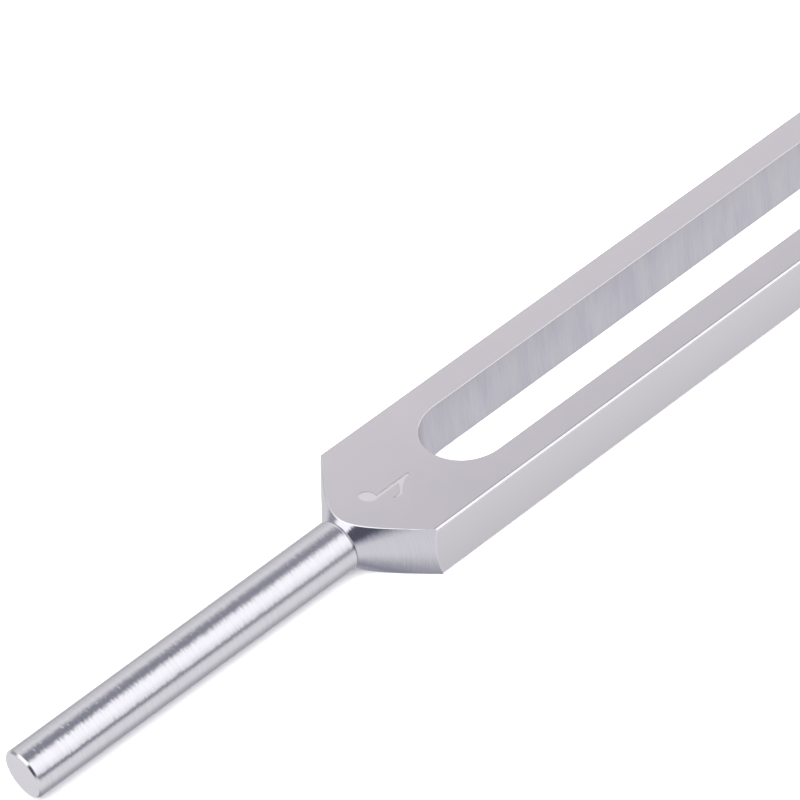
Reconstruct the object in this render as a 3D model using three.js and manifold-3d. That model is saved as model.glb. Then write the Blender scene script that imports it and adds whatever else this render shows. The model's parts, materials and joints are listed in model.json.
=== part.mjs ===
// A tuning fork sounding C at 128 Hz, in millimetres, +Z up.
//
// The fork lies flat. The origin is the centre of the stem's foot face, +Y runs along the stem
// towards the tips of the tines, +X runs across the two tines and +Z through the fork's thickness.
//
// It comes apart into three pieces: the fork body (two tines, the yoke that joins them and a turned
// conical shoulder, machined from one aluminium bar), the round stem, and the headless screw that
// holds the stem tight against the shoulder.

import * as THREE from 'three';
import { mergeVertices } from 'three/addons/utils/BufferGeometryUtils.js';
import Module from 'manifold-3d';

const wasm = await Module();
wasm.setup();

// The bar
const BAR_WIDTH = 25;
const BAR_THICKNESS = 9;
const EDGE_BREAK = 0.3;

// The slot between the tines. A tine 5.5 thick that swings freely over 187 of its length, from just
// above the round root of the slot, sounds 128 Hz in aluminium.
const SLOT_WIDTH = 14;
const SLOT_DEPTH = 190;
const YOKE_DEPTH = 19;

// The shoulder, turned concentric with the stem
const SHOULDER_HALF_ANGLE = THREE.MathUtils.degToRad(48.6);
const SHOULDER_SEAT_RADIUS = 3.7;

// The stem tapers very slightly towards its foot.
const STEM_LENGTH = 60;
const STEM_FOOT_RADIUS = 3.93;
const STEM_SEAT_RADIUS = 4.08;
const STEM_FOOT_CHAMFER = 0.35;
const STEM_SEAT_CHAMFER = 0.2;

// The joining screw: a headless M4 x 20 screw, half in the stem and half in the yoke
const SCREW_RADIUS = 2;
const SCREW_LENGTH = 20;
const SCREW_CHAMFER = 0.5;
const SOCKET_WIDTH = 2;
const SOCKET_DEPTH = 2.5;

// The tapped holes, drawn plain at the thread's outer diameter
const HOLE_CLEARANCE = 0.05;
const HOLE_END_GAP = 0.3;
const DRILL_HALF_ANGLE = THREE.MathUtils.degToRad(59);

const SEAT_Y = STEM_LENGTH;
const SLOT_BOTTOM_Y = SEAT_Y + YOKE_DEPTH;
const TIP_Y = SLOT_BOTTOM_Y + SLOT_DEPTH;
const SLOT_RADIUS = SLOT_WIDTH / 2;
const HOLE_RADIUS = SCREW_RADIUS + HOLE_CLEARANCE;
const HOLE_DEPTH = SCREW_LENGTH / 2 + HOLE_END_GAP;

const TURNED_SEGMENTS = 144;
const ROOT_SEGMENTS = 48;
const SCREW_SEGMENTS = 48;

// How far a cutting solid runs past the surface it cuts
const OVERRUN = 5;

const machinedAluminium = new THREE.MeshStandardMaterial({
  color: new THREE.Color(0.77, 0.76, 0.78),
  roughness: 0.38,
  metalness: 1,
});

const turnedAluminium = new THREE.MeshStandardMaterial({
  color: new THREE.Color(0.8, 0.8, 0.82),
  roughness: 0.28,
  metalness: 1,
});

const plainSteel = new THREE.MeshStandardMaterial({
  color: new THREE.Color(0.42, 0.42, 0.43),
  roughness: 0.4,
  metalness: 1,
});

// A closed geometry as a manifold solid. A lathe's points on the axis collapse to one vertex each,
// so the triangles that lose their area there are dropped.
function solidFrom(geometry) {
  const bare = geometry.clone();
  bare.deleteAttribute('normal');
  bare.deleteAttribute('uv');
  const merged = mergeVertices(bare);
  const corners = merged.index.array;
  const triangles = [];
  for (let i = 0; i < corners.length; i += 3) {
    const [a, b, c] = corners.slice(i, i + 3);
    if (a !== b && b !== c && c !== a) {
      triangles.push(a, b, c);
    }
  }
  const mesh = new wasm.Mesh({
    numProp: 3,
    vertProperties: new Float32Array(merged.attributes.position.array),
    triVerts: new Uint32Array(triangles),
  });
  return new wasm.Manifold(mesh);
}

// A manifold solid as a geometry that a mesh can carry.
function geometryFrom(solid) {
  const mesh = solid.getMesh();
  const geometry = new THREE.BufferGeometry();
  geometry.setAttribute('position', new THREE.BufferAttribute(mesh.vertProperties, 3));
  geometry.setIndex(new THREE.BufferAttribute(mesh.triVerts, 1));
  geometry.computeVertexNormals();
  return geometry;
}

// A solid of revolution about the stem's axis, from [radius, y] points that start and end on it.
function turned(profile, segments) {
  const points = profile.map(([radius, y]) => new THREE.Vector2(radius, y));
  return solidFrom(new THREE.LatheGeometry(points, segments));
}

// A closed outline in the XY plane, carried through the fork's thickness.
function throughThickness(shape, height, bevel) {
  const geometry = new THREE.ExtrudeGeometry(shape, {
    depth: height - 2 * bevel,
    bevelEnabled: bevel > 0,
    bevelThickness: bevel,
    bevelSize: bevel,
    bevelOffset: -bevel,
    bevelSegments: 1,
    curveSegments: ROOT_SEGMENTS,
  });
  geometry.translate(0, 0, bevel - height / 2);
  return solidFrom(geometry);
}

// The plain bar from the seat to the tips, with the edges of its two broad faces broken.
function bar() {
  const half = BAR_WIDTH / 2;
  const outline = new THREE.Shape();
  outline.moveTo(-half, SEAT_Y);
  outline.lineTo(half, SEAT_Y);
  outline.lineTo(half, TIP_Y);
  outline.lineTo(-half, TIP_Y);
  return throughThickness(outline, BAR_THICKNESS, EDGE_BREAK);
}

// The round-bottomed slot that parts the tines. It is open at the tips and keeps crisp edges.
function slot() {
  const outline = new THREE.Shape();
  outline.moveTo(SLOT_RADIUS, TIP_Y + OVERRUN);
  outline.lineTo(-SLOT_RADIUS, TIP_Y + OVERRUN);
  outline.absarc(0, SLOT_BOTTOM_Y + SLOT_RADIUS, SLOT_RADIUS, Math.PI, 2 * Math.PI, false);
  return throughThickness(outline, BAR_THICKNESS + OVERRUN, 0);
}

// Everything inside the shoulder's cone. The bar keeps only what lies in it.
function shoulderCone() {
  const reach = Math.hypot(BAR_WIDTH, BAR_THICKNESS) / 2 + OVERRUN;
  const coneLength = (reach - SHOULDER_SEAT_RADIUS) / Math.tan(SHOULDER_HALF_ANGLE);
  const profile = [
    [0, SEAT_Y],
    [SHOULDER_SEAT_RADIUS, SEAT_Y],
    [reach, SEAT_Y + coneLength],
    [reach, TIP_Y + OVERRUN],
    [0, TIP_Y + OVERRUN],
  ];
  return turned(profile, TURNED_SEGMENTS);
}

// The drilled hole in the yoke, with the cone that the drill's point leaves.
function yokeHole() {
  const drillPoint = HOLE_RADIUS / Math.tan(DRILL_HALF_ANGLE);
  const profile = [
    [0, SEAT_Y - OVERRUN],
    [HOLE_RADIUS, SEAT_Y - OVERRUN],
    [HOLE_RADIUS, SEAT_Y + HOLE_DEPTH],
    [0, SEAT_Y + HOLE_DEPTH + drillPoint],
  ];
  return turned(profile, SCREW_SEGMENTS);
}

function forkBody() {
  return bar().subtract(slot()).intersect(shoulderCone()).subtract(yokeHole());
}

// The stem, chamfered at both ends, with the drilled hole for the screw in its upper end.
function stem() {
  const drillPoint = HOLE_RADIUS / Math.tan(DRILL_HALF_ANGLE);
  const profile = [
    [0, 0],
    [STEM_FOOT_RADIUS - STEM_FOOT_CHAMFER, 0],
    [STEM_FOOT_RADIUS, STEM_FOOT_CHAMFER],
    [STEM_SEAT_RADIUS, STEM_LENGTH - STEM_SEAT_CHAMFER],
    [STEM_SEAT_RADIUS - STEM_SEAT_CHAMFER, STEM_LENGTH],
    [HOLE_RADIUS, STEM_LENGTH],
    [HOLE_RADIUS, STEM_LENGTH - HOLE_DEPTH],
    [0, STEM_LENGTH - HOLE_DEPTH - drillPoint],
  ];
  return turned(profile, TURNED_SEGMENTS);
}

// The hexagonal socket that the screw is driven by, open at the screw's upper end.
function screwSocket(openY) {
  const cornerRadius = SOCKET_WIDTH / Math.sqrt(3);
  const hexagon = new THREE.Shape();
  for (let corner = 0; corner < 6; corner += 1) {
    const angle = (corner * Math.PI) / 3;
    const x = cornerRadius * Math.cos(angle);
    const z = cornerRadius * Math.sin(angle);
    if (corner === 0) {
      hexagon.moveTo(x, z);
    } else {
      hexagon.lineTo(x, z);
    }
  }
  const geometry = new THREE.ExtrudeGeometry(hexagon, {
    depth: SOCKET_DEPTH + OVERRUN,
    bevelEnabled: false,
  });
  geometry.rotateX(-Math.PI / 2);
  geometry.translate(0, openY - SOCKET_DEPTH, 0);
  return solidFrom(geometry);
}

function joiningScrew() {
  const lowY = SEAT_Y - SCREW_LENGTH / 2;
  const highY = SEAT_Y + SCREW_LENGTH / 2;
  const profile = [
    [0, lowY],
    [SCREW_RADIUS - SCREW_CHAMFER, lowY],
    [SCREW_RADIUS, lowY + SCREW_CHAMFER],
    [SCREW_RADIUS, highY - SCREW_CHAMFER],
    [SCREW_RADIUS - SCREW_CHAMFER, highY],
    [0, highY],
  ];
  return turned(profile, SCREW_SEGMENTS).subtract(screwSocket(highY));
}

function piece(name, solid, material) {
  const mesh = new THREE.Mesh(geometryFrom(solid), material);
  mesh.name = name;
  return mesh;
}

const tuningFork = new THREE.Group();
tuningFork.add(piece('fork_body', forkBody(), machinedAluminium));
tuningFork.add(piece('stem', stem(), turnedAluminium));
tuningFork.add(piece('joining_screw', joiningScrew(), plainSteel));

export default tuningFork;
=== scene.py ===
"""A tuning fork sounding C at 128 Hz: the visual model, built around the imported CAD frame.

The fork lies flat. The origin is the centre of the stem's foot face, +Y runs along the stem to the
tips of the tines, +X across the two tines and +Z through the thickness. Shapes are worked out in
millimetres, and to_metres makes each mesh ready for the frame.
"""

import json
import math

import bmesh
import bpy
from mathutils import Matrix, Vector

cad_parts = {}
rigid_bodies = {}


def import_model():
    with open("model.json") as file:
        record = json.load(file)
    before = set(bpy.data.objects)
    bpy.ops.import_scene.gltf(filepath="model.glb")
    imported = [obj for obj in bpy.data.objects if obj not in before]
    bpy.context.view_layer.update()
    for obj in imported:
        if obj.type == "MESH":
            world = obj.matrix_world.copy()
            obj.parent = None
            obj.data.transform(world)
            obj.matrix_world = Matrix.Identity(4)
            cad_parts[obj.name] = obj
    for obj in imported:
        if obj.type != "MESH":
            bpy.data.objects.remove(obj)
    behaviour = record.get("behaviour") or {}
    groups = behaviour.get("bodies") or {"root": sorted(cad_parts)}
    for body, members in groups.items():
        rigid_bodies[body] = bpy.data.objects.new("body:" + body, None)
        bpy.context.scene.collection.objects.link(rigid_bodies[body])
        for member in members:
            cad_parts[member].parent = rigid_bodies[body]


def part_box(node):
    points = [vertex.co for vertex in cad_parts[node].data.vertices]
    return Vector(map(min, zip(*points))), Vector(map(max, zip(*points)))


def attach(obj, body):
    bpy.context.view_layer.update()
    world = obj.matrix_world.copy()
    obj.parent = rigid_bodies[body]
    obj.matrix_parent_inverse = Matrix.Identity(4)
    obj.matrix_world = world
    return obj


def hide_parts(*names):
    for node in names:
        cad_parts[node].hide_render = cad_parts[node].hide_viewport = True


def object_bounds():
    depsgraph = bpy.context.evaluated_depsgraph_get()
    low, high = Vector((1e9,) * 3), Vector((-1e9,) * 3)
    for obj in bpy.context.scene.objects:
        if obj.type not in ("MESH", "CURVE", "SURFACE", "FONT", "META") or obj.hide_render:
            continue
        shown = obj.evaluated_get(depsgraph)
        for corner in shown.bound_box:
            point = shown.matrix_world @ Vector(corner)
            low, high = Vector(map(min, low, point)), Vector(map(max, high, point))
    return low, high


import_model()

cad_low, cad_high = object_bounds()

MM = 0.001

# The WEIGHTED_NORMAL modifier's highest weight for large faces
LARGEST_FACE_WINS = 100

# ---------------------------------------------------------------------------------------------
# Sizes, in millimetres
# ---------------------------------------------------------------------------------------------

body_low, body_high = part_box("fork_body")
stem_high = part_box("stem")[1]
screw_low, screw_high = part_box("joining_screw")

HALF_WIDTH = body_high.x / MM
HALF_THICKNESS = body_high.z / MM
SEAT_Y = body_low.y / MM
TIP_Y = body_high.y / MM

# The slot: straight walls, and a half-round root
SLOT_RADIUS = 7.0
YOKE_DEPTH = 19.0
SLOT_CENTRE_Y = SEAT_Y + YOKE_DEPTH + SLOT_RADIUS

# The shoulder's cone, which ends a little smaller than the stem that seats against it
SHOULDER_SLOPE = math.tan(math.radians(48.6))
SHOULDER_SEAT_RADIUS = 3.7

STEM_SEAT_RADIUS = stem_high.x / MM
STEM_FOOT_RADIUS = 3.93
STEM_FOOT_CHAMFER = 0.35
STEM_SEAT_CHAMFER = 0.2

# The M4 thread of the joining screw and of its two holes
THREAD_RADIUS = screw_high.x / MM
THREAD_PITCH = 0.7
THREAD_DEPTH = 0.4
THREAD_CLEARANCE = 0.05
SCREW_LOW_Y = screw_low.y / MM
SCREW_HIGH_Y = screw_high.y / MM
SCREW_CHAMFER = 0.5
SOCKET_WIDTH = 2.0
SOCKET_DEPTH = 2.5
HOLE_END_GAP = 0.3
HOLE_DEPTH = SCREW_HIGH_Y - SEAT_Y + HOLE_END_GAP
DRILL_SLOPE = math.tan(math.radians(59.0))

# ---------------------------------------------------------------------------------------------
# Materials
# ---------------------------------------------------------------------------------------------


class Nodes:
    """Builds a node tree. Inputs given as sockets are linked, others are set."""

    def __init__(self, tree):
        self.tree = tree

    def put(self, target, value):
        if isinstance(value, bpy.types.NodeSocket):
            self.tree.links.new(value, target)
        else:
            target.default_value = value

    def add(self, kind, inputs, output=0, **settings):
        """Adds a node and returns its output socket."""
        node = self.tree.nodes.new("ShaderNode" + kind)
        for name, value in settings.items():
            setattr(node, name, value)
        for key, value in inputs.items():
            self.put(node.inputs[key], value)
        return node.outputs[output]

    def math(self, operation, *values):
        return self.add("Math", dict(enumerate(values)), operation=operation)

    def total(self, *values):
        result = values[0]
        for value in values[1:]:
            result = self.math("ADD", result, value)
        return result

    def vector(self, operation, *values):
        return self.add("VectorMath", dict(enumerate(values)), operation=operation)

    def scaled(self, vector, factor):
        return self.add("VectorMath", {0: vector, 3: factor}, operation="SCALE")

    def product(self, *values):
        result = values[0]
        for value in values[1:]:
            result = self.math("MULTIPLY", result, value)
        return result

    def largest(self, *values):
        result = values[0]
        for value in values[1:]:
            result = self.math("MAXIMUM", result, value)
        return result

    def parts(self, vector):
        return self.add("SeparateXYZ", {0: vector}).node.outputs

    def noise(self, vector, scale=1.0, detail=2.0, roughness=0.5):
        inputs = {"Vector": vector, "Scale": scale, "Detail": detail, "Roughness": roughness}
        return self.add("TexNoise", inputs)

    def between(self, factor, low, high, start=0.0, end=1.0):
        """low to high as factor goes from start to end, in a straight line."""
        return self.add("MapRange", {0: factor, 1: start, 2: end, 3: low, 4: high})

    def ramp(self, factor, start, end):
        """Zero to one as factor goes from start to end, with a soft start and end."""
        inputs = {0: factor, 1: start, 2: end, 3: 0.0, 4: 1.0}
        return self.add("MapRange", inputs, interpolation_type="SMOOTHSTEP")

    def blend(self, factor, dark, light):
        """One colour to another as factor goes from 0 to 1."""
        inputs = {"Factor": factor, 6: (*dark, 1.0), 7: (*light, 1.0)}
        return self.add("Mix", inputs, output=2, data_type="RGBA")


class Surface(Nodes):
    """One material's node tree."""

    def __init__(self, name):
        self.material = bpy.data.materials.new(name)
        self.material.use_nodes = True
        super().__init__(self.material.node_tree)
        self.shader = self.tree.nodes["Principled BSDF"]

    def position_mm(self):
        """Where the shaded point is, in millimetres in the fork's frame."""
        return self.scaled(self.add("TexCoord", {}, output="Object"), 1.0 / MM)

    def bump(self, height, depth_mm, under=None):
        inputs = {"Height": height, "Distance": depth_mm * MM, "Strength": 1.0}
        if under is not None:
            inputs["Normal"] = under
        return self.add("Bump", inputs)

    def shaded(self, colour, strength):
        """A colour that darkens by up to strength where the floor is close.

        It stands for the fork's own shadow on the floor, which the metal would reflect.
        """
        open_sky = self.add("AmbientOcclusion", {"Distance": SHADE_REACH * MM}, output="AO")
        shade = self.between(open_sky, 1.0 - strength, 1.0, start=SHADE_FULL)
        return self.scaled(colour, shade)

    def finish(self, **inputs):
        for name, value in inputs.items():
            self.put(self.shader.inputs[name.replace("_", " ")], value)
        return self.material


# How fast sanding has rolled the broad faces away from flat, as a slope for each millimetre
CROWN = 0.0036

# How much the drawn sides darken towards the floor, from how far off in millimetres, and the share
# of open sky at which they are darkest
SHADE_STRENGTH = 0.16
SHADE_REACH = 12.0
SHADE_FULL = 0.4


def sanded_aluminium():
    """The broad faces: fine random grain from sanding, with a few short scratches."""
    nodes = Surface("sanded_aluminium")
    position = nodes.position_mm()
    grain = nodes.noise(position, scale=5.0, detail=3.0, roughness=0.65)
    cloud = nodes.noise(position, scale=0.12)
    scratch = nodes.noise(nodes.vector("MULTIPLY", position, (7.0, 0.6, 7.0)), detail=1.0)
    scratch = nodes.between(scratch, 0.0, 1.0, start=0.70, end=0.78)
    crown = nodes.product(nodes.parts(position)["X"], CROWN)
    crowned = nodes.vector("ADD", nodes.add("NewGeometry", {}, output="Normal"),
                           nodes.scaled((1.0, 0.0, 0.0), crown))
    colour = nodes.blend(cloud, dark=(0.63, 0.605, 0.65), light=(0.70, 0.66, 0.705))
    rough = nodes.between(cloud, 0.33, 0.39)
    normal = nodes.bump(grain, 0.0035, under=crowned)
    normal = nodes.bump(scratch, -0.0015, under=normal)
    return nodes.finish(Base_Color=colour, Metallic=1.0, Roughness=rough, Normal=normal)


def drawn_aluminium():
    """The outer sides: smooth, with faint lines along the bar."""
    nodes = Surface("drawn_aluminium")
    position = nodes.position_mm()
    lines = nodes.noise(nodes.vector("MULTIPLY", position, (1.0, 0.05, 6.0)))
    grain = nodes.noise(position, scale=6.0)
    colour = nodes.blend(lines, dark=(0.655, 0.634, 0.680), light=(0.685, 0.664, 0.710))
    rough = nodes.between(grain, 0.27, 0.33)
    normal = nodes.bump(grain, 0.0012)
    normal = nodes.bump(lines, 0.0010, under=normal)
    colour = nodes.shaded(colour, SHADE_STRENGTH)
    return nodes.finish(Base_Color=colour, Metallic=1.0, Roughness=rough, Normal=normal)


def milled_aluminium():
    """The slot's walls and the tine ends: cutter marks that run through the thickness."""
    nodes = Surface("milled_aluminium")
    position = nodes.position_mm()
    fine = nodes.noise(nodes.vector("MULTIPLY", position, (3.6, 3.6, 0.2)), detail=2.0)
    broad = nodes.noise(nodes.vector("MULTIPLY", position, (0.4, 0.4, 0.10)), detail=2.0)
    cut = nodes.between(nodes.math("ADD", fine, broad), 0.0, 1.0, start=0.65, end=1.35)
    # Darker than the other faces: partly the milled finish, partly painted shade for the shadowed
    # floor that the walls in the slot would reflect.
    colour = nodes.blend(cut, dark=(0.50, 0.488, 0.56), light=(0.605, 0.59, 0.63))
    rough = nodes.between(fine, 0.30, 0.44)
    normal = nodes.bump(fine, 0.010)
    return nodes.finish(Base_Color=colour, Metallic=1.0, Roughness=rough, Normal=normal)


# How often the lathe marks change, for each millimetre across them and round the axis
MARKS_ACROSS = 3.8
MARKS_ROUND = 0.8


def turned_aluminium(name, foot_roughness, seat_roughness, sideways, lengthways, dark, light):
    """The stem and the shoulder, with the fine tool marks that a lathe leaves round the axis.

    The marks tilt the surface by up to sideways round the axis and lengthways along it, as slopes.
    """
    nodes = Surface(name)
    position = nodes.position_mm()
    axes = nodes.parts(position)
    radius = nodes.math("SQRT", nodes.math("ADD", nodes.product(axes["X"], axes["X"]),
                                           nodes.product(axes["Z"], axes["Z"])))
    # Across the marks is along the stem, and on the shoulder's cone it is both along and outwards.
    across = nodes.math("ADD", axes["Y"], radius)
    marks = nodes.add("CombineXYZ", {
        "X": nodes.math("MULTIPLY", axes["X"], MARKS_ROUND),
        "Y": nodes.math("MULTIPLY", across, MARKS_ACROSS),
        "Z": nodes.math("MULTIPLY", axes["Z"], MARKS_ROUND),
    })
    streaks = nodes.noise(marks, detail=2.0, roughness=0.8)
    rings = nodes.noise(nodes.vector("MULTIPLY_ADD", marks, (0.2, 1.0, 0.2), (50.0, 0.0, 0.0)))

    normal = nodes.add("NewGeometry", {}, output="Normal")
    round_axis = nodes.vector("CROSS_PRODUCT", (0.0, 1.0, 0.0), normal)
    roll = nodes.between(streaks, -sideways, sideways)
    pitch = nodes.between(streaks, -lengthways, lengthways)
    tilted = nodes.vector("ADD", normal, nodes.scaled(round_axis, roll))
    tilted = nodes.vector("ADD", tilted, nodes.scaled((0.0, 1.0, 0.0), pitch))
    tilted = nodes.add("VectorMath", {0: tilted}, operation="NORMALIZE")

    colour = nodes.blend(rings, dark, light)
    rough = nodes.between(axes["Y"], foot_roughness, seat_roughness, start=0.0, end=SEAT_Y)
    rough = nodes.product(rough, nodes.between(streaks, 0.75, 1.25))
    return nodes.finish(Base_Color=colour, Metallic=1.0, Roughness=rough, Normal=tilted)


def edge_aluminium(name):
    """The broken edges: burnished brighter than the faces, with small nicks."""
    nodes = Surface(name)
    position = nodes.position_mm()
    wear = nodes.noise(position, scale=1.4, detail=3.0)
    nicks = nodes.noise(position, scale=4.0)
    colour = nodes.blend(wear, dark=(0.64, 0.63, 0.66), light=(0.74, 0.73, 0.75))
    rough = nodes.between(wear, 0.12, 0.20)
    normal = nodes.bump(nicks, 0.003)
    return nodes.finish(Base_Color=colour, Metallic=1.0, Roughness=rough, Normal=normal)


def etched_aluminium():
    """The floor of the engraved mark: frosted, so it looks paler than the face round it."""
    nodes = Surface("etched_aluminium")
    position = nodes.position_mm()
    frost = nodes.noise(position, scale=9.0, detail=3.0)
    colour = nodes.blend(frost, dark=(0.74, 0.72, 0.75), light=(0.82, 0.80, 0.83))
    normal = nodes.bump(frost, 0.006)
    return nodes.finish(Base_Color=colour, Metallic=1.0, Roughness=0.5, Normal=normal)


def screw_steel():
    """The joining screw: plain steel, rolled thread."""
    nodes = Surface("screw_steel")
    position = nodes.position_mm()
    grain = nodes.noise(position, scale=3.0, detail=3.0)
    colour = nodes.blend(grain, dark=(0.36, 0.36, 0.37), light=(0.48, 0.48, 0.49))
    rough = nodes.between(grain, 0.32, 0.48)
    normal = nodes.bump(grain, 0.004)
    return nodes.finish(Base_Color=colour, Metallic=1.0, Roughness=rough, Normal=normal)


# ---------------------------------------------------------------------------------------------
# Mesh helpers
# ---------------------------------------------------------------------------------------------


def object_from(bm, name, materials):
    """A bmesh as an object, shaded smooth and still in millimetres."""
    bmesh.ops.recalc_face_normals(bm, faces=bm.faces)
    mesh = bpy.data.meshes.new(name)
    bm.to_mesh(mesh)
    bm.free()
    for material in materials:
        mesh.materials.append(material)
    mesh.polygons.foreach_set("use_smooth", [True] * len(mesh.polygons))
    made = bpy.data.objects.new(name, mesh)
    bpy.context.scene.collection.objects.link(made)
    return made


def apply_modifiers(made):
    """Replaces an object's mesh by what its modifiers make of it."""
    bpy.context.view_layer.update()
    graph = bpy.context.evaluated_depsgraph_get()
    mesh = bpy.data.meshes.new_from_object(made.evaluated_get(graph))
    made.modifiers.clear()
    made.data = mesh
    mesh.name = made.name


def to_metres(made):
    made.data.transform(Matrix.Scale(MM, 4))


def ring_of(bm, angles, place):
    """One loop of vertices. place gives (radius, y) at an angle round the Y axis."""
    loop = []
    for angle in angles:
        radius, y = place(angle)
        loop.append(bm.verts.new((radius * math.cos(angle), y, radius * math.sin(angle))))
    return loop


def join_rings(bm, first, second, region):
    """A band of quads between two loops of the same length."""
    count = len(first)
    for i in range(count):
        j = (i + 1) % count
        face = bm.faces.new((first[i], first[j], second[j], second[i]))
        face.material_index = region


def close_ring(bm, loop, y, region):
    """Closes a loop with a fan to a point on the axis."""
    centre = bm.verts.new((0.0, y, 0.0))
    count = len(loop)
    for i in range(count):
        face = bm.faces.new((loop[i], loop[(i + 1) % count], centre))
        face.material_index = region


def at(radius, y):
    """A row that is a plain circle."""
    return lambda angle: (radius, y)


def steps(low, high, count):
    """count + 1 values from low to high."""
    return [low + (high - low) * i / count for i in range(count + 1)]


def round_angles(segments):
    """Even angles for a ring of so many segments."""
    return [2.0 * math.pi * i / segments for i in range(segments)]


def even_shading(made):
    """Adds a modifier that keeps large flat and straight faces free of their edges' shading."""
    modifier = made.modifiers.new("even shading", "WEIGHTED_NORMAL")
    modifier.weight = LARGEST_FACE_WINS
    return modifier


# ---------------------------------------------------------------------------------------------
# The fork body
# ---------------------------------------------------------------------------------------------

BROAD, SIDE, MILLED, TURNED, EDGE = range(5)

# How far back each kind of edge is broken, in millimetres
EDGE_SETBACKS = {
    frozenset((BROAD, SIDE)): 0.46,
    frozenset((BROAD, TURNED)): 0.12,
    frozenset((BROAD, MILLED)): 0.11,
    frozenset((SIDE, TURNED)): 0.08,
    frozenset((SIDE, MILLED)): 0.20,
}
# Blender's profile number: 0.25 is a flat chamfer and 0.5 a quarter circle.
EDGE_PROFILE = 0.32
EDGE_SEGMENTS = 4
BROAD_SEGMENTS = 88
SIDE_SEGMENTS = 20
ROOT_SEGMENTS = 72
SHARP_ANGLE = math.radians(35.0)


def bar_radius(angle):
    """From the axis to the outside of the bar's rectangular section."""
    across = HALF_WIDTH / max(abs(math.cos(angle)), 1e-9)
    through = HALF_THICKNESS / max(abs(math.sin(angle)), 1e-9)
    return min(across, through)


def section_angles():
    """Angles round the axis, with one at each corner of the bar's section."""
    corner = math.atan2(HALF_THICKNESS, HALF_WIDTH)
    starts = (corner, math.pi - corner, math.pi + corner, 2.0 * math.pi - corner)
    counts = (BROAD_SEGMENTS, SIDE_SEGMENTS, BROAD_SEGMENTS, SIDE_SEGMENTS)
    spans = (math.pi - 2.0 * corner, 2.0 * corner) * 2
    angles = []
    for start, span, count in zip(starts, spans, counts):
        angles += steps(start, start + span, count)[:-1]
    return angles


def slot_outline():
    """The slot's edge from the left tip, round the root, to the right tip."""
    points = [(-SLOT_RADIUS, TIP_Y)]
    for angle in steps(math.pi, 2.0 * math.pi, ROOT_SEGMENTS):
        x = SLOT_RADIUS * math.cos(angle)
        y = SLOT_CENTRE_Y + SLOT_RADIUS * math.sin(angle)
        points.append((x, y))
    points.append((SLOT_RADIUS, TIP_Y))
    return points


def build_fork_solid():
    """The fork body with sharp edges, each face carrying the region it belongs to."""
    bm = bmesh.new()
    angles = section_angles()

    def shoulder_rim(angle):
        reach = bar_radius(angle)
        return reach, SEAT_Y + (reach - SHOULDER_SEAT_RADIUS) / SHOULDER_SLOPE

    seat = ring_of(bm, angles, at(SHOULDER_SEAT_RADIUS, SEAT_Y))
    rim = ring_of(bm, angles, shoulder_rim)
    join_rings(bm, seat, rim, TURNED)

    hole = tapped_hole(bm, angles, SEAT_Y, 1.0, TURNED)
    join_rings(bm, seat, hole, TURNED)

    right_top = 0
    left_top = BROAD_SEGMENTS
    left_bottom = left_top + SIDE_SEGMENTS
    right_bottom = left_bottom + BROAD_SEGMENTS

    def corner(x, y, z):
        return bm.verts.new((x, y, z))

    slot_top = [corner(x, y, HALF_THICKNESS) for x, y in slot_outline()]
    slot_bottom = [corner(x, y, -HALF_THICKNESS) for x, y in slot_outline()]
    tips = {
        (side, level): corner(side * HALF_WIDTH, TIP_Y, level * HALF_THICKNESS)
        for side in (-1, 1)
        for level in (-1, 1)
    }

    def face(vertices, region):
        bm.faces.new(vertices).material_index = region

    face(rim[right_top:left_top + 1] + [tips[-1, 1]] + slot_top + [tips[1, 1]], BROAD)
    face(rim[left_bottom:right_bottom + 1] + [tips[1, -1]] + slot_bottom[::-1] + [tips[-1, -1]],
         BROAD)
    face(rim[left_top:left_bottom + 1] + [tips[-1, -1], tips[-1, 1]], SIDE)
    face(rim[right_bottom:] + [rim[right_top], tips[1, 1], tips[1, -1]], SIDE)
    for i in range(len(slot_top) - 1):
        face((slot_top[i], slot_top[i + 1], slot_bottom[i + 1], slot_bottom[i]), MILLED)
    face((slot_top[0], slot_bottom[0], tips[-1, -1], tips[-1, 1]), MILLED)
    face((slot_top[-1], slot_bottom[-1], tips[1, -1], tips[1, 1]), MILLED)
    return bm


def break_edges(body):
    """Bevels each edge between two regions by its own setback."""
    mesh = body.data
    regions = {}
    for polygon in mesh.polygons:
        for key in polygon.edge_keys:
            regions.setdefault(key, []).append(polygon.material_index)
    widest = max(EDGE_SETBACKS.values())
    weights = []
    for edge in mesh.edges:
        pair = frozenset(regions[tuple(sorted(edge.vertices))])
        weights.append(EDGE_SETBACKS.get(pair, 0.0) / widest)
    layer = mesh.attributes.new("bevel_weight_edge", "FLOAT", "EDGE")
    layer.data.foreach_set("value", weights)
    bevel = body.modifiers.new("broken edges", "BEVEL")
    bevel.limit_method = "WEIGHT"
    bevel.width = widest
    bevel.segments = EDGE_SEGMENTS
    bevel.profile = EDGE_PROFILE
    bevel.material = EDGE
    bevel.use_clamp_overlap = False
    bevel.face_strength_mode = "FSTR_ALL"
    apply_modifiers(body)
    body.data.set_sharp_from_angle(angle=SHARP_ANGLE)


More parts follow.
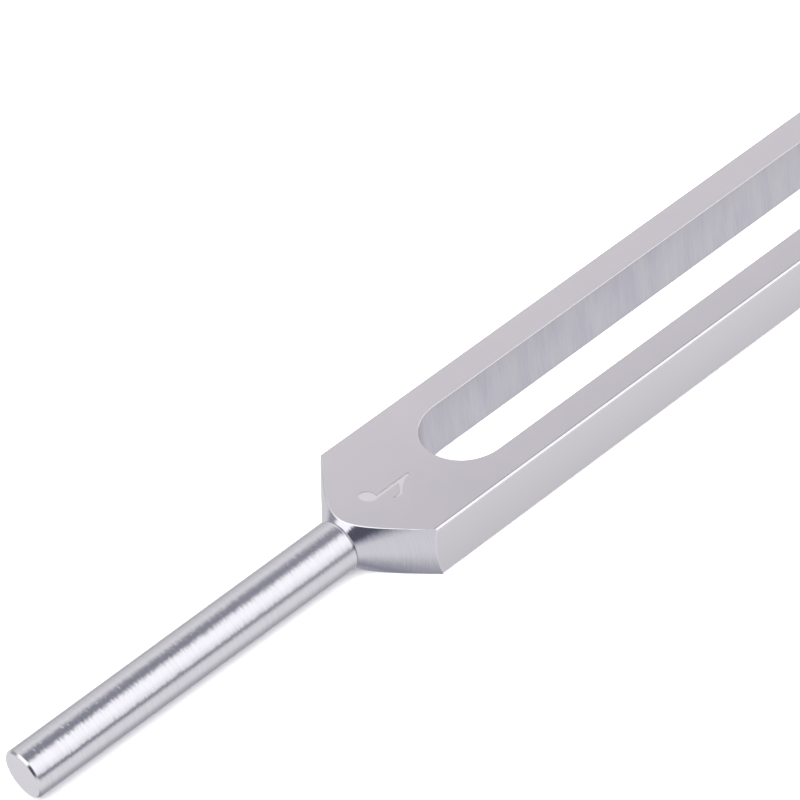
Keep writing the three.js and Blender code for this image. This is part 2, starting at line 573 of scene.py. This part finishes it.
def build_fork_body():
    materials = [
        sanded_aluminium(),
        drawn_aluminium(),
        milled_aluminium(),
        turned_aluminium("turned_shoulder", foot_roughness=0.14, seat_roughness=0.14,
                         sideways=0.09, lengthways=0.05,
                         dark=(0.565, 0.555, 0.615), light=(0.635, 0.625, 0.69)),
        edge_aluminium("broken_edges"),
    ]
    body = object_from(build_fork_solid(), "fork_body_visual", materials)
    break_edges(body)

    mark = build_mark()
    cut = body.modifiers.new("engraved mark", "BOOLEAN")
    cut.operation = "DIFFERENCE"
    cut.solver = "EXACT"
    cut.operand_type = "COLLECTION"
    cut.collection = mark
    cut.material_mode = "TRANSFER"

    even = even_shading(body)
    even.keep_sharp = True
    even.use_face_influence = True
    apply_modifiers(body)
    for cutter in list(mark.objects):
        bpy.data.objects.remove(cutter)
    bpy.data.collections.remove(mark)
    to_metres(body)
    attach(body, "root")
    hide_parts("fork_body")


# ---------------------------------------------------------------------------------------------
# The engraved mark: a plain quaver, the general sign for a musical note
# ---------------------------------------------------------------------------------------------

MARK_X = -0.3
MARK_Y = SEAT_Y + 5.6
MARK_DEPTH = 0.06
MARK_HEIGHT = 8.2
MARK_STROKE = 0.6
HEAD_LENGTH = 1.45
HEAD_WIDTH = 1.0
HEAD_TILT = math.radians(24.0)
FLAG_REACH = 2.4
FLAG_DROP = 3.4
ABOVE_FACE = 0.5


def curve(start, control, end, count):
    """Points along a quadratic curve."""
    start, control, end = Vector(start), Vector(control), Vector(end)
    points = []
    for t in steps(0.0, 1.0, count):
        points.append(start * (1 - t) ** 2 + control * 2 * t * (1 - t) + end * t ** 2)
    return points


def note_head():
    """A tilted ellipse that stands on the mark's base line."""
    points = []
    for angle in steps(0.0, 2.0 * math.pi, 40)[:-1]:
        point = Vector((HEAD_LENGTH * math.cos(angle), HEAD_WIDTH * math.sin(angle)))
        point.rotate(Matrix.Rotation(HEAD_TILT, 2))
        points.append(point + Vector((0.0, HEAD_WIDTH)))
    return points


def note_stem():
    """A straight stroke up from the head's right side."""
    right = HEAD_LENGTH * math.cos(HEAD_TILT) + 0.05
    left = right - MARK_STROKE
    low = HEAD_WIDTH + 0.5
    corners = ((left, low), (right, low), (right, MARK_HEIGHT), (left, MARK_HEIGHT))
    return [Vector(corner) for corner in corners]


def note_flag():
    """A tapering hook that falls from the top of the stem."""
    root = HEAD_LENGTH * math.cos(HEAD_TILT) - MARK_STROKE / 2.0
    top = MARK_HEIGHT - 0.05
    turn = (root + FLAG_REACH, MARK_HEIGHT - FLAG_DROP)
    tip = (root + FLAG_REACH - 0.5, MARK_HEIGHT - FLAG_DROP - 1.7)
    outer = curve((root, top), (root + 0.5, top - 1.7), turn, 12)
    outer += curve(turn, (turn[0] + 0.2, turn[1] - 0.9), tip, 6)[1:]
    inner = curve(tip, (turn[0] - 0.1, turn[1] - 0.9), (turn[0] - 0.7, turn[1] + 0.1), 6)[1:]
    inner += curve(inner[-1], (root + 0.9, top - 2.5), (root, top - 2.1), 8)[1:]
    return outer + inner


def engraving_cutter(outline, material):
    """A solid over one outline that reaches MARK_DEPTH into the marked face."""
    bm = bmesh.new()
    levels = (HALF_THICKNESS - MARK_DEPTH, HALF_THICKNESS + ABOVE_FACE)
    low, high = [
        [bm.verts.new((MARK_X + point.x, MARK_Y + point.y, level)) for point in outline]
        for level in levels
    ]
    join_rings(bm, low, high, 0)
    bm.faces.new(low)
    bm.faces.new(high)
    return object_from(bm, "engraving_cutter", [material])


def build_mark():
    """A collection of solids that the fork's face is cut by."""
    material = etched_aluminium()
    cutters = bpy.data.collections.new("engraved mark")
    bpy.context.scene.collection.children.link(cutters)
    for outline in (note_head(), note_stem(), note_flag()):
        cutter = engraving_cutter(outline, material)
        bpy.context.scene.collection.objects.unlink(cutter)
        cutters.objects.link(cutter)
    return cutters


# ---------------------------------------------------------------------------------------------
# The thread, the stem and the joining screw
# ---------------------------------------------------------------------------------------------

THREAD_ROWS_PER_TURN = 8
# The share of the ridge's height that is cut off flat at its crest, and again at its root
THREAD_FLAT = 0.1


def thread_radius(angle, y, outer):
    """The thread's surface: a 60 degree ridge that climbs one pitch a turn."""
    turn = (y / THREAD_PITCH + angle / (2.0 * math.pi)) % 1.0
    ridge = 1.0 - abs(2.0 * turn - 1.0)
    flattened = (ridge - THREAD_FLAT) / (1.0 - 2.0 * THREAD_FLAT)
    return outer - THREAD_DEPTH * (1.0 - min(1.0, max(0.0, flattened)))


def tapped_hole(bm, angles, mouth_y, inwards, region):
    """A threaded blind hole along the axis. Returns the loop at its mouth."""
    outer = THREAD_RADIUS + THREAD_CLEARANCE
    turns = HOLE_DEPTH / THREAD_PITCH
    depths = steps(0.0, HOLE_DEPTH, round(turns * THREAD_ROWS_PER_TURN))
    loops = []
    for depth in depths:
        y = mouth_y + inwards * depth
        opening = max(0.0, 1.0 - depth / SCREW_CHAMFER)

        def place(angle, y=y, opening=opening):
            radius = thread_radius(angle, y, outer)
            return max(radius, outer - THREAD_DEPTH * (1.0 - opening)), y

        loops.append(ring_of(bm, angles, place))
    for first, second in zip(loops, loops[1:]):
        join_rings(bm, first, second, region)
    point = (outer - THREAD_DEPTH / 2.0) / DRILL_SLOPE
    close_ring(bm, loops[-1], mouth_y + inwards * (HOLE_DEPTH + point), region)
    return loops[0]


STEM_SEGMENTS = 160
STEM_ROWS = 60
CORNER_ROUNDING = 0.04
# The foot face's inner ring, as a share of the radius
INNER_RING = 0.4
BARREL, CHAMFER = range(2)

# The stem's edge at the seat is rolled over, gently at first. Both are distances from the seat.
SEAT_ROLL_START = 0.45
SEAT_ROLL_TURN = 0.12
SEAT_ROLL_ROWS = 8


def barrel_radius(y):
    """The stem tapers slightly towards its foot."""
    return STEM_FOOT_RADIUS + (STEM_SEAT_RADIUS - STEM_FOOT_RADIUS) * y / SEAT_Y


def rounded_corner(before, corner, after):
    """Points round a profile's corner, in place of the corner itself."""
    corner = Vector(corner)
    start = corner + (Vector(before) - corner).normalized() * CORNER_ROUNDING
    end = corner + (Vector(after) - corner).normalized() * CORNER_ROUNDING
    return curve(start, corner, end, 2)


def stem_profile():
    """(radius, y) points along the outside of the stem, from its foot face to its seat face."""
    foot_y = STEM_FOOT_CHAMFER
    foot = barrel_radius(foot_y)
    inner = (foot * INNER_RING, 0.0)
    face_edge = (foot - STEM_FOOT_CHAMFER, 0.0)
    barrel_edge = (foot, foot_y)
    roll_y = SEAT_Y - SEAT_ROLL_START
    roll_start = (barrel_radius(roll_y), roll_y)
    roll_turn = (STEM_SEAT_RADIUS, SEAT_Y - SEAT_ROLL_TURN)
    roll_end = (STEM_SEAT_RADIUS - STEM_SEAT_CHAMFER, SEAT_Y)
    points = [Vector(inner)]
    points += rounded_corner(inner, face_edge, barrel_edge)
    points += rounded_corner(face_edge, barrel_edge, roll_start)
    points += [Vector((barrel_radius(y), y)) for y in steps(foot_y, roll_y, STEM_ROWS)[1:-1]]
    points += curve(roll_start, roll_turn, roll_end, SEAT_ROLL_ROWS)
    points.append(Vector((SHOULDER_SEAT_RADIUS, SEAT_Y)))
    return points


def stem_region(middle):
    """Which finish a band has, from the (radius, y) of its middle."""
    on_foot = middle.y < STEM_FOOT_CHAMFER and middle.x > STEM_FOOT_RADIUS - STEM_FOOT_CHAMFER
    on_seat = middle.y > SEAT_Y - SEAT_ROLL_START
    return CHAMFER if on_foot or on_seat else BARREL


def build_stem():
    """A turned rod with broken ends and a tapped hole for the joining screw."""
    bm = bmesh.new()
    angles = round_angles(STEM_SEGMENTS)
    profile = stem_profile()
    loops = [ring_of(bm, angles, at(radius, y)) for radius, y in profile]
    close_ring(bm, loops[0], 0.0, BARREL)
    for i in range(1, len(loops)):
        join_rings(bm, loops[i - 1], loops[i], stem_region((profile[i - 1] + profile[i]) / 2.0))
    hole = tapped_hole(bm, angles, SEAT_Y, -1.0, BARREL)
    join_rings(bm, loops[-1], hole, BARREL)

    finish = turned_aluminium("turned_stem", foot_roughness=0.17, seat_roughness=0.24,
                              sideways=0.05, lengthways=0.36,
                              dark=(0.635, 0.62, 0.67), light=(0.715, 0.70, 0.75))
    stem = object_from(bm, "stem_visual", [finish, edge_aluminium("stem_chamfers")])
    even_shading(stem)
    apply_modifiers(stem)
    to_metres(stem)
    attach(stem, "root")
    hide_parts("stem")


SCREW_SEGMENTS = 48


def hexagon_radius(angle):
    """From the axis to the wall of the hexagonal socket."""
    sixth = math.pi / 3.0
    within = (angle % sixth) - sixth / 2.0
    return SOCKET_WIDTH / 2.0 / math.cos(within)


def screw_rows():
    """Places for the screw's rings, from its low end, over the thread, into the socket."""
    end_ring = THREAD_RADIUS - SCREW_CHAMFER
    rows = [at(end_ring, SCREW_LOW_Y)]
    length = SCREW_HIGH_Y - SCREW_LOW_Y
    count = round(length / THREAD_PITCH * THREAD_ROWS_PER_TURN)
    for y in steps(SCREW_LOW_Y, SCREW_HIGH_Y, count)[1:-1]:
        from_end = min(y - SCREW_LOW_Y, SCREW_HIGH_Y - y)
        limit = THREAD_RADIUS - max(0.0, SCREW_CHAMFER - from_end)
        rows.append(lambda a, y=y, top=limit: (min(top, thread_radius(a, y, THREAD_RADIUS)), y))
    rows.append(at(end_ring, SCREW_HIGH_Y))
    rows.append(lambda a: (hexagon_radius(a), SCREW_HIGH_Y))
    rows.append(lambda a: (hexagon_radius(a), SCREW_HIGH_Y - SOCKET_DEPTH))
    return rows


def build_joining_screw():
    """The headless screw: a real helical thread and a hexagonal socket in its upper end."""
    bm = bmesh.new()
    loops = [ring_of(bm, round_angles(SCREW_SEGMENTS), place) for place in screw_rows()]
    close_ring(bm, loops[0], SCREW_LOW_Y, 0)
    for first, second in zip(loops, loops[1:]):
        join_rings(bm, first, second, 0)
    close_ring(bm, loops[-1], SCREW_HIGH_Y - SOCKET_DEPTH, 0)
    screw = object_from(bm, "joining_screw_visual", [screw_steel()])
    to_metres(screw)
    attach(screw, "root")
    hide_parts("joining_screw")


# ---------------------------------------------------------------------------------------------
# The stage: floor, light and camera
# ---------------------------------------------------------------------------------------------

FLOOR_SIZE = 8.0


def build_floor():
    """A pale floor that the fork lies on. The metal reflects the studio's lower half instead."""
    bm = bmesh.new()
    half = FLOOR_SIZE / 2.0 / MM
    level = cad_low.z / MM
    corners = [(-half, -half, level), (half, -half, level), (half, half, level),
               (-half, half, level)]
    bm.faces.new([bm.verts.new(corner) for corner in corners])
    nodes = Surface("pale_floor")
    cloud = nodes.noise(nodes.position_mm(), scale=0.01)
    colour = nodes.blend(cloud, dark=(0.90, 0.90, 0.905), light=(0.92, 0.92, 0.925))
    material = nodes.finish(Base_Color=colour, Roughness=0.9, Specular_IOR_Level=0.0)
    floor = object_from(bm, "floor", [material])
    to_metres(floor)
    floor.visible_glossy = False


LAMP_PLACE = (0.0, 0.1, 1.5)
LAMP_WIDTH = 4.0
LAMP_WATTS = 110.0


def build_fill_light():
    """A broad lamp overhead that whitens the floor and stays out of the reflections."""
    light = bpy.data.lights.new("overhead fill", "AREA")
    light.shape = "DISK"
    light.size = LAMP_WIDTH
    light.energy = LAMP_WATTS
    lamp = bpy.data.objects.new("overhead fill", light)
    lamp.location = LAMP_PLACE
    lamp.visible_camera = False
    lamp.visible_glossy = False
    bpy.context.scene.collection.objects.link(lamp)


class Directions:
    """Ways to say where in the studio a ray goes, as sockets.

    x, y and z are the direction's parts. height is the angle above the horizon, turn the compass
    angle from the stem's foot end towards the right, and round_fork the angle round the fork's axis
    from the right, over the top, to the left, all in degrees. slanted is round_fork for soft boxes
    that aren't quite in line with the fork.
    """

    def __init__(self, nodes):
        axes = nodes.parts(nodes.add("TexCoord", {}, output="Generated"))
        self.x, self.y, self.z = axes["X"], axes["Y"], axes["Z"]
        degrees = math.degrees(1.0)
        self.height = nodes.product(nodes.math("ARCSINE", self.z), degrees)
        self.round_fork = nodes.product(nodes.math("ARCTAN2", self.z, self.x), degrees)
        front = nodes.product(self.y, -1.0)
        self.turn = nodes.product(nodes.math("ARCTAN2", self.x, front), degrees)
        slant = nodes.between(nodes.ramp(self.y, 0.2, 0.6), -5.0, 6.0)
        self.slanted = nodes.math("ADD", self.round_fork, slant)
        self.front_to_left = nodes.ramp(self.turn, 5.0, -45.0)


def pale_ground(nodes, to):
    """A pale floor, bright near the fork but darker straight below, where the fork's shadow is
    painted in, and fading before the horizon.
    """
    # Darker straight down: a painted shadow of the fork on the floor, put into the studio's light
    # for the metal to reflect.
    painted_fork_shadow = nodes.between(nodes.ramp(to.height, -36.0, -88.0), 1.0, 0.30)
    behind_left = nodes.between(nodes.ramp(to.turn, -70.0, -105.0), 1.0, 0.80)
    horizon = nodes.between(to.front_to_left, 7.0, 15.0)
    return nodes.product(nodes.ramp(to.height, horizon, -19.0), painted_fork_shadow, behind_left, 0.98)


def right_softbox(nodes, to):
    """A long one beside the fork that starts behind its foot end."""
    glow = nodes.between(nodes.ramp(to.round_fork, 8.0, 44.0), 1.10, 1.40)
    return nodes.product(nodes.ramp(to.round_fork, -4.0, 14.0), nodes.ramp(to.slanted, 97.0, 64.0),
                         nodes.ramp(to.turn, 26.0, 50.0), glow)


def front_softbox(nodes, to):
    """On the left, leaning over the fork as it rises, and dimmer straight above."""
    lean = nodes.total(to.x, nodes.product(to.z, -0.7), 0.245)
    far_end = nodes.between(nodes.ramp(to.x, -0.60, -0.80), 1.6, 0.95)
    overhead = nodes.between(nodes.ramp(to.z, 0.92, 0.99), 1.0, 0.45)
    return nodes.product(nodes.ramp(to.height, 6.0, 22.0), nodes.ramp(to.y, 0.26, 0.06),
                         nodes.ramp(lean, 0.115, -0.045), far_end, overhead)


def left_panel(nodes, to):
    """Dimmer, behind the front softbox."""
    glow = nodes.between(nodes.ramp(to.round_fork, 138.0, 168.0), 0.95, 0.77)
    return nodes.product(nodes.ramp(to.slanted, 95.0, 136.0), nodes.ramp(to.turn, -80.0, -110.0),
                         glow)


def back_panel(nodes, to):
    """Behind the tips."""
    return nodes.product(nodes.ramp(to.height, 4.0, 20.0), nodes.ramp(to.y, 0.55, 0.80), 1.2)


def dark_room(nodes, to):
    """What the room itself gives between the lights."""
    sides = nodes.math("ADD", nodes.between(to.front_to_left, 0.14, 0.47),
                       nodes.between(nodes.ramp(to.turn, 40.0, 80.0), 0.0, 0.12))
    return nodes.product(sides, nodes.between(nodes.ramp(to.height, 15.0, 60.0), 1.0, 0.70))


def studio_brightness(nodes):
    """How bright the studio is in each direction, with 1 as white."""
    to = Directions(nodes)
    sources = (pale_ground, right_softbox, front_softbox, left_panel, back_panel, dark_room)
    return nodes.largest(*[source(nodes, to) for source in sources])


def build_studio():
    """The surroundings: soft boxes in a dark room for the metal, plain white for the camera."""
    world = bpy.data.worlds.new("studio")
    bpy.context.scene.world = world
    world.use_nodes = True
    nodes = Nodes(world.node_tree)
    brightness = studio_brightness(nodes)
    tint = nodes.blend(nodes.ramp(brightness, 0.0, 0.8), dark=(0.85, 0.90, 1.15),
                       light=(1.0, 1.0, 1.0))
    reflected = nodes.tree.nodes["Background"]
    nodes.put(reflected.inputs["Color"], tint)
    nodes.put(reflected.inputs["Strength"], brightness)
    seen = nodes.add("Background", {"Color": (1.0, 1.0, 1.0, 1.0)})
    from_camera = nodes.add("LightPath", {}, output="Is Camera Ray")
    mixed = nodes.add("MixShader", {0: from_camera, 1: reflected.outputs[0], 2: seen})
    nodes.put(nodes.tree.nodes["World Output"].inputs["Surface"], mixed)


CAMERA_PLACE = Vector((0.41456, -0.23319, 0.48022))
CAMERA_TARGET = Vector((-0.01594, 0.08680, -0.00008))
CAMERA_ROLL = math.radians(-9.26)
CAMERA_LENS = 217.74


def build_camera():
    camera = bpy.data.objects.new("camera", bpy.data.cameras.new("camera"))
    bpy.context.scene.collection.objects.link(camera)
    ahead = (CAMERA_TARGET - CAMERA_PLACE).normalized()
    turn = ahead.to_track_quat("-Z", "Y").to_matrix() @ Matrix.Rotation(CAMERA_ROLL, 3, "Z")
    camera.matrix_world = Matrix.Translation(CAMERA_PLACE) @ turn.to_4x4()
    camera.data.sensor_width = 36.0
    camera.data.lens = CAMERA_LENS
    camera.data.clip_start = 0.01
    camera.data.clip_end = 50.0
    bpy.context.scene.camera = camera


def plain_colours():
    """Shows brightness as it is, so that white stays white."""
    bpy.context.scene.view_settings.view_transform = "Standard"


build_fork_body()
build_stem()
build_joining_screw()
build_floor()
build_fill_light()
build_studio()
build_camera()
plain_colours()
